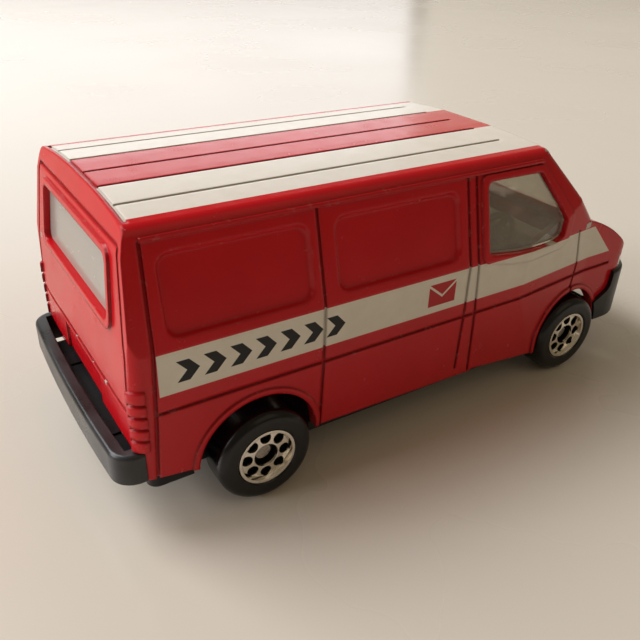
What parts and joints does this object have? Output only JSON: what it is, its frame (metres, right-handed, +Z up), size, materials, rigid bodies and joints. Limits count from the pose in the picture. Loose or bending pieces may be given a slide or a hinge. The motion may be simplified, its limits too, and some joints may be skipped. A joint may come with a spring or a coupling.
{
  "type": "toy delivery van",
  "caption": "Small die-cast toy delivery van with a hollow metal body, plastic base and bumpers, clear windows and free-rolling wheels.",
  "frame": {"origin": "on the ground, on the centre line, midway between the two bumpers and midway between the two axles", "axes": "+X towards the front of the van, +Y to its left side, +Z up"},
  "size_m": [0.0741, 0.0334, 0.0304],
  "materials": {
    "painted_zinc": "gloss",
    "base_plastic": "satin",
    "bumper_plastic": "satin",
    "clear_plastic": "gloss",
    "rear_window_plastic": "gloss",
    "lamp_plastic": "gloss",
    "interior_plastic": "satin",
    "steering_plastic": "satin",
    "axle_steel": "satin",
    "tyre_plastic": "gloss",
    "hub_foil": "gloss"
  },
  "bodies": {
    "van": {"body_shell": "painted_zinc", "base_plate": "base_plastic", "front_bumper": "bumper_plastic", "rear_bumper": "bumper_plastic", "cab_glazing": "clear_plastic", "rear_glazing": "rear_window_plastic", "headlamp_right": "lamp_plastic", "headlamp_left": "lamp_plastic", "cab_interior": "interior_plastic", "steering_wheel": "steering_plastic", "front_axle": "axle_steel", "rear_axle": "axle_steel"},
    "wheel_front_right": {"tyre_front_right": "tyre_plastic", "hub_front_right": "hub_foil"},
    "wheel_front_left": {"tyre_front_left": "tyre_plastic", "hub_front_left": "hub_foil"},
    "wheel_rear_right": {"tyre_rear_right": "tyre_plastic", "hub_rear_right": "hub_foil"},
    "wheel_rear_left": {"tyre_rear_left": "tyre_plastic", "hub_rear_left": "hub_foil"}
  },
  "joints": [
    {"name": "front_right_wheel_spin", "type": "hinge", "parent": "van", "child": "wheel_front_right", "pos_m": [0.02235, -0.01335, 0.0051], "axis": [0, 1, 0], "continuous": true},
    {"name": "front_left_wheel_spin", "type": "hinge", "parent": "van", "child": "wheel_front_left", "pos_m": [0.02235, 0.01335, 0.0051], "axis": [0, 1, 0], "continuous": true},
    {"name": "rear_right_wheel_spin", "type": "hinge", "parent": "van", "child": "wheel_rear_right", "pos_m": [-0.02235, -0.01455, 0.0051], "axis": [0, 1, 0], "continuous": true},
    {"name": "rear_left_wheel_spin", "type": "hinge", "parent": "van", "child": "wheel_rear_left", "pos_m": [-0.02235, 0.01455, 0.0051], "axis": [0, 1, 0], "continuous": true}
  ]
}
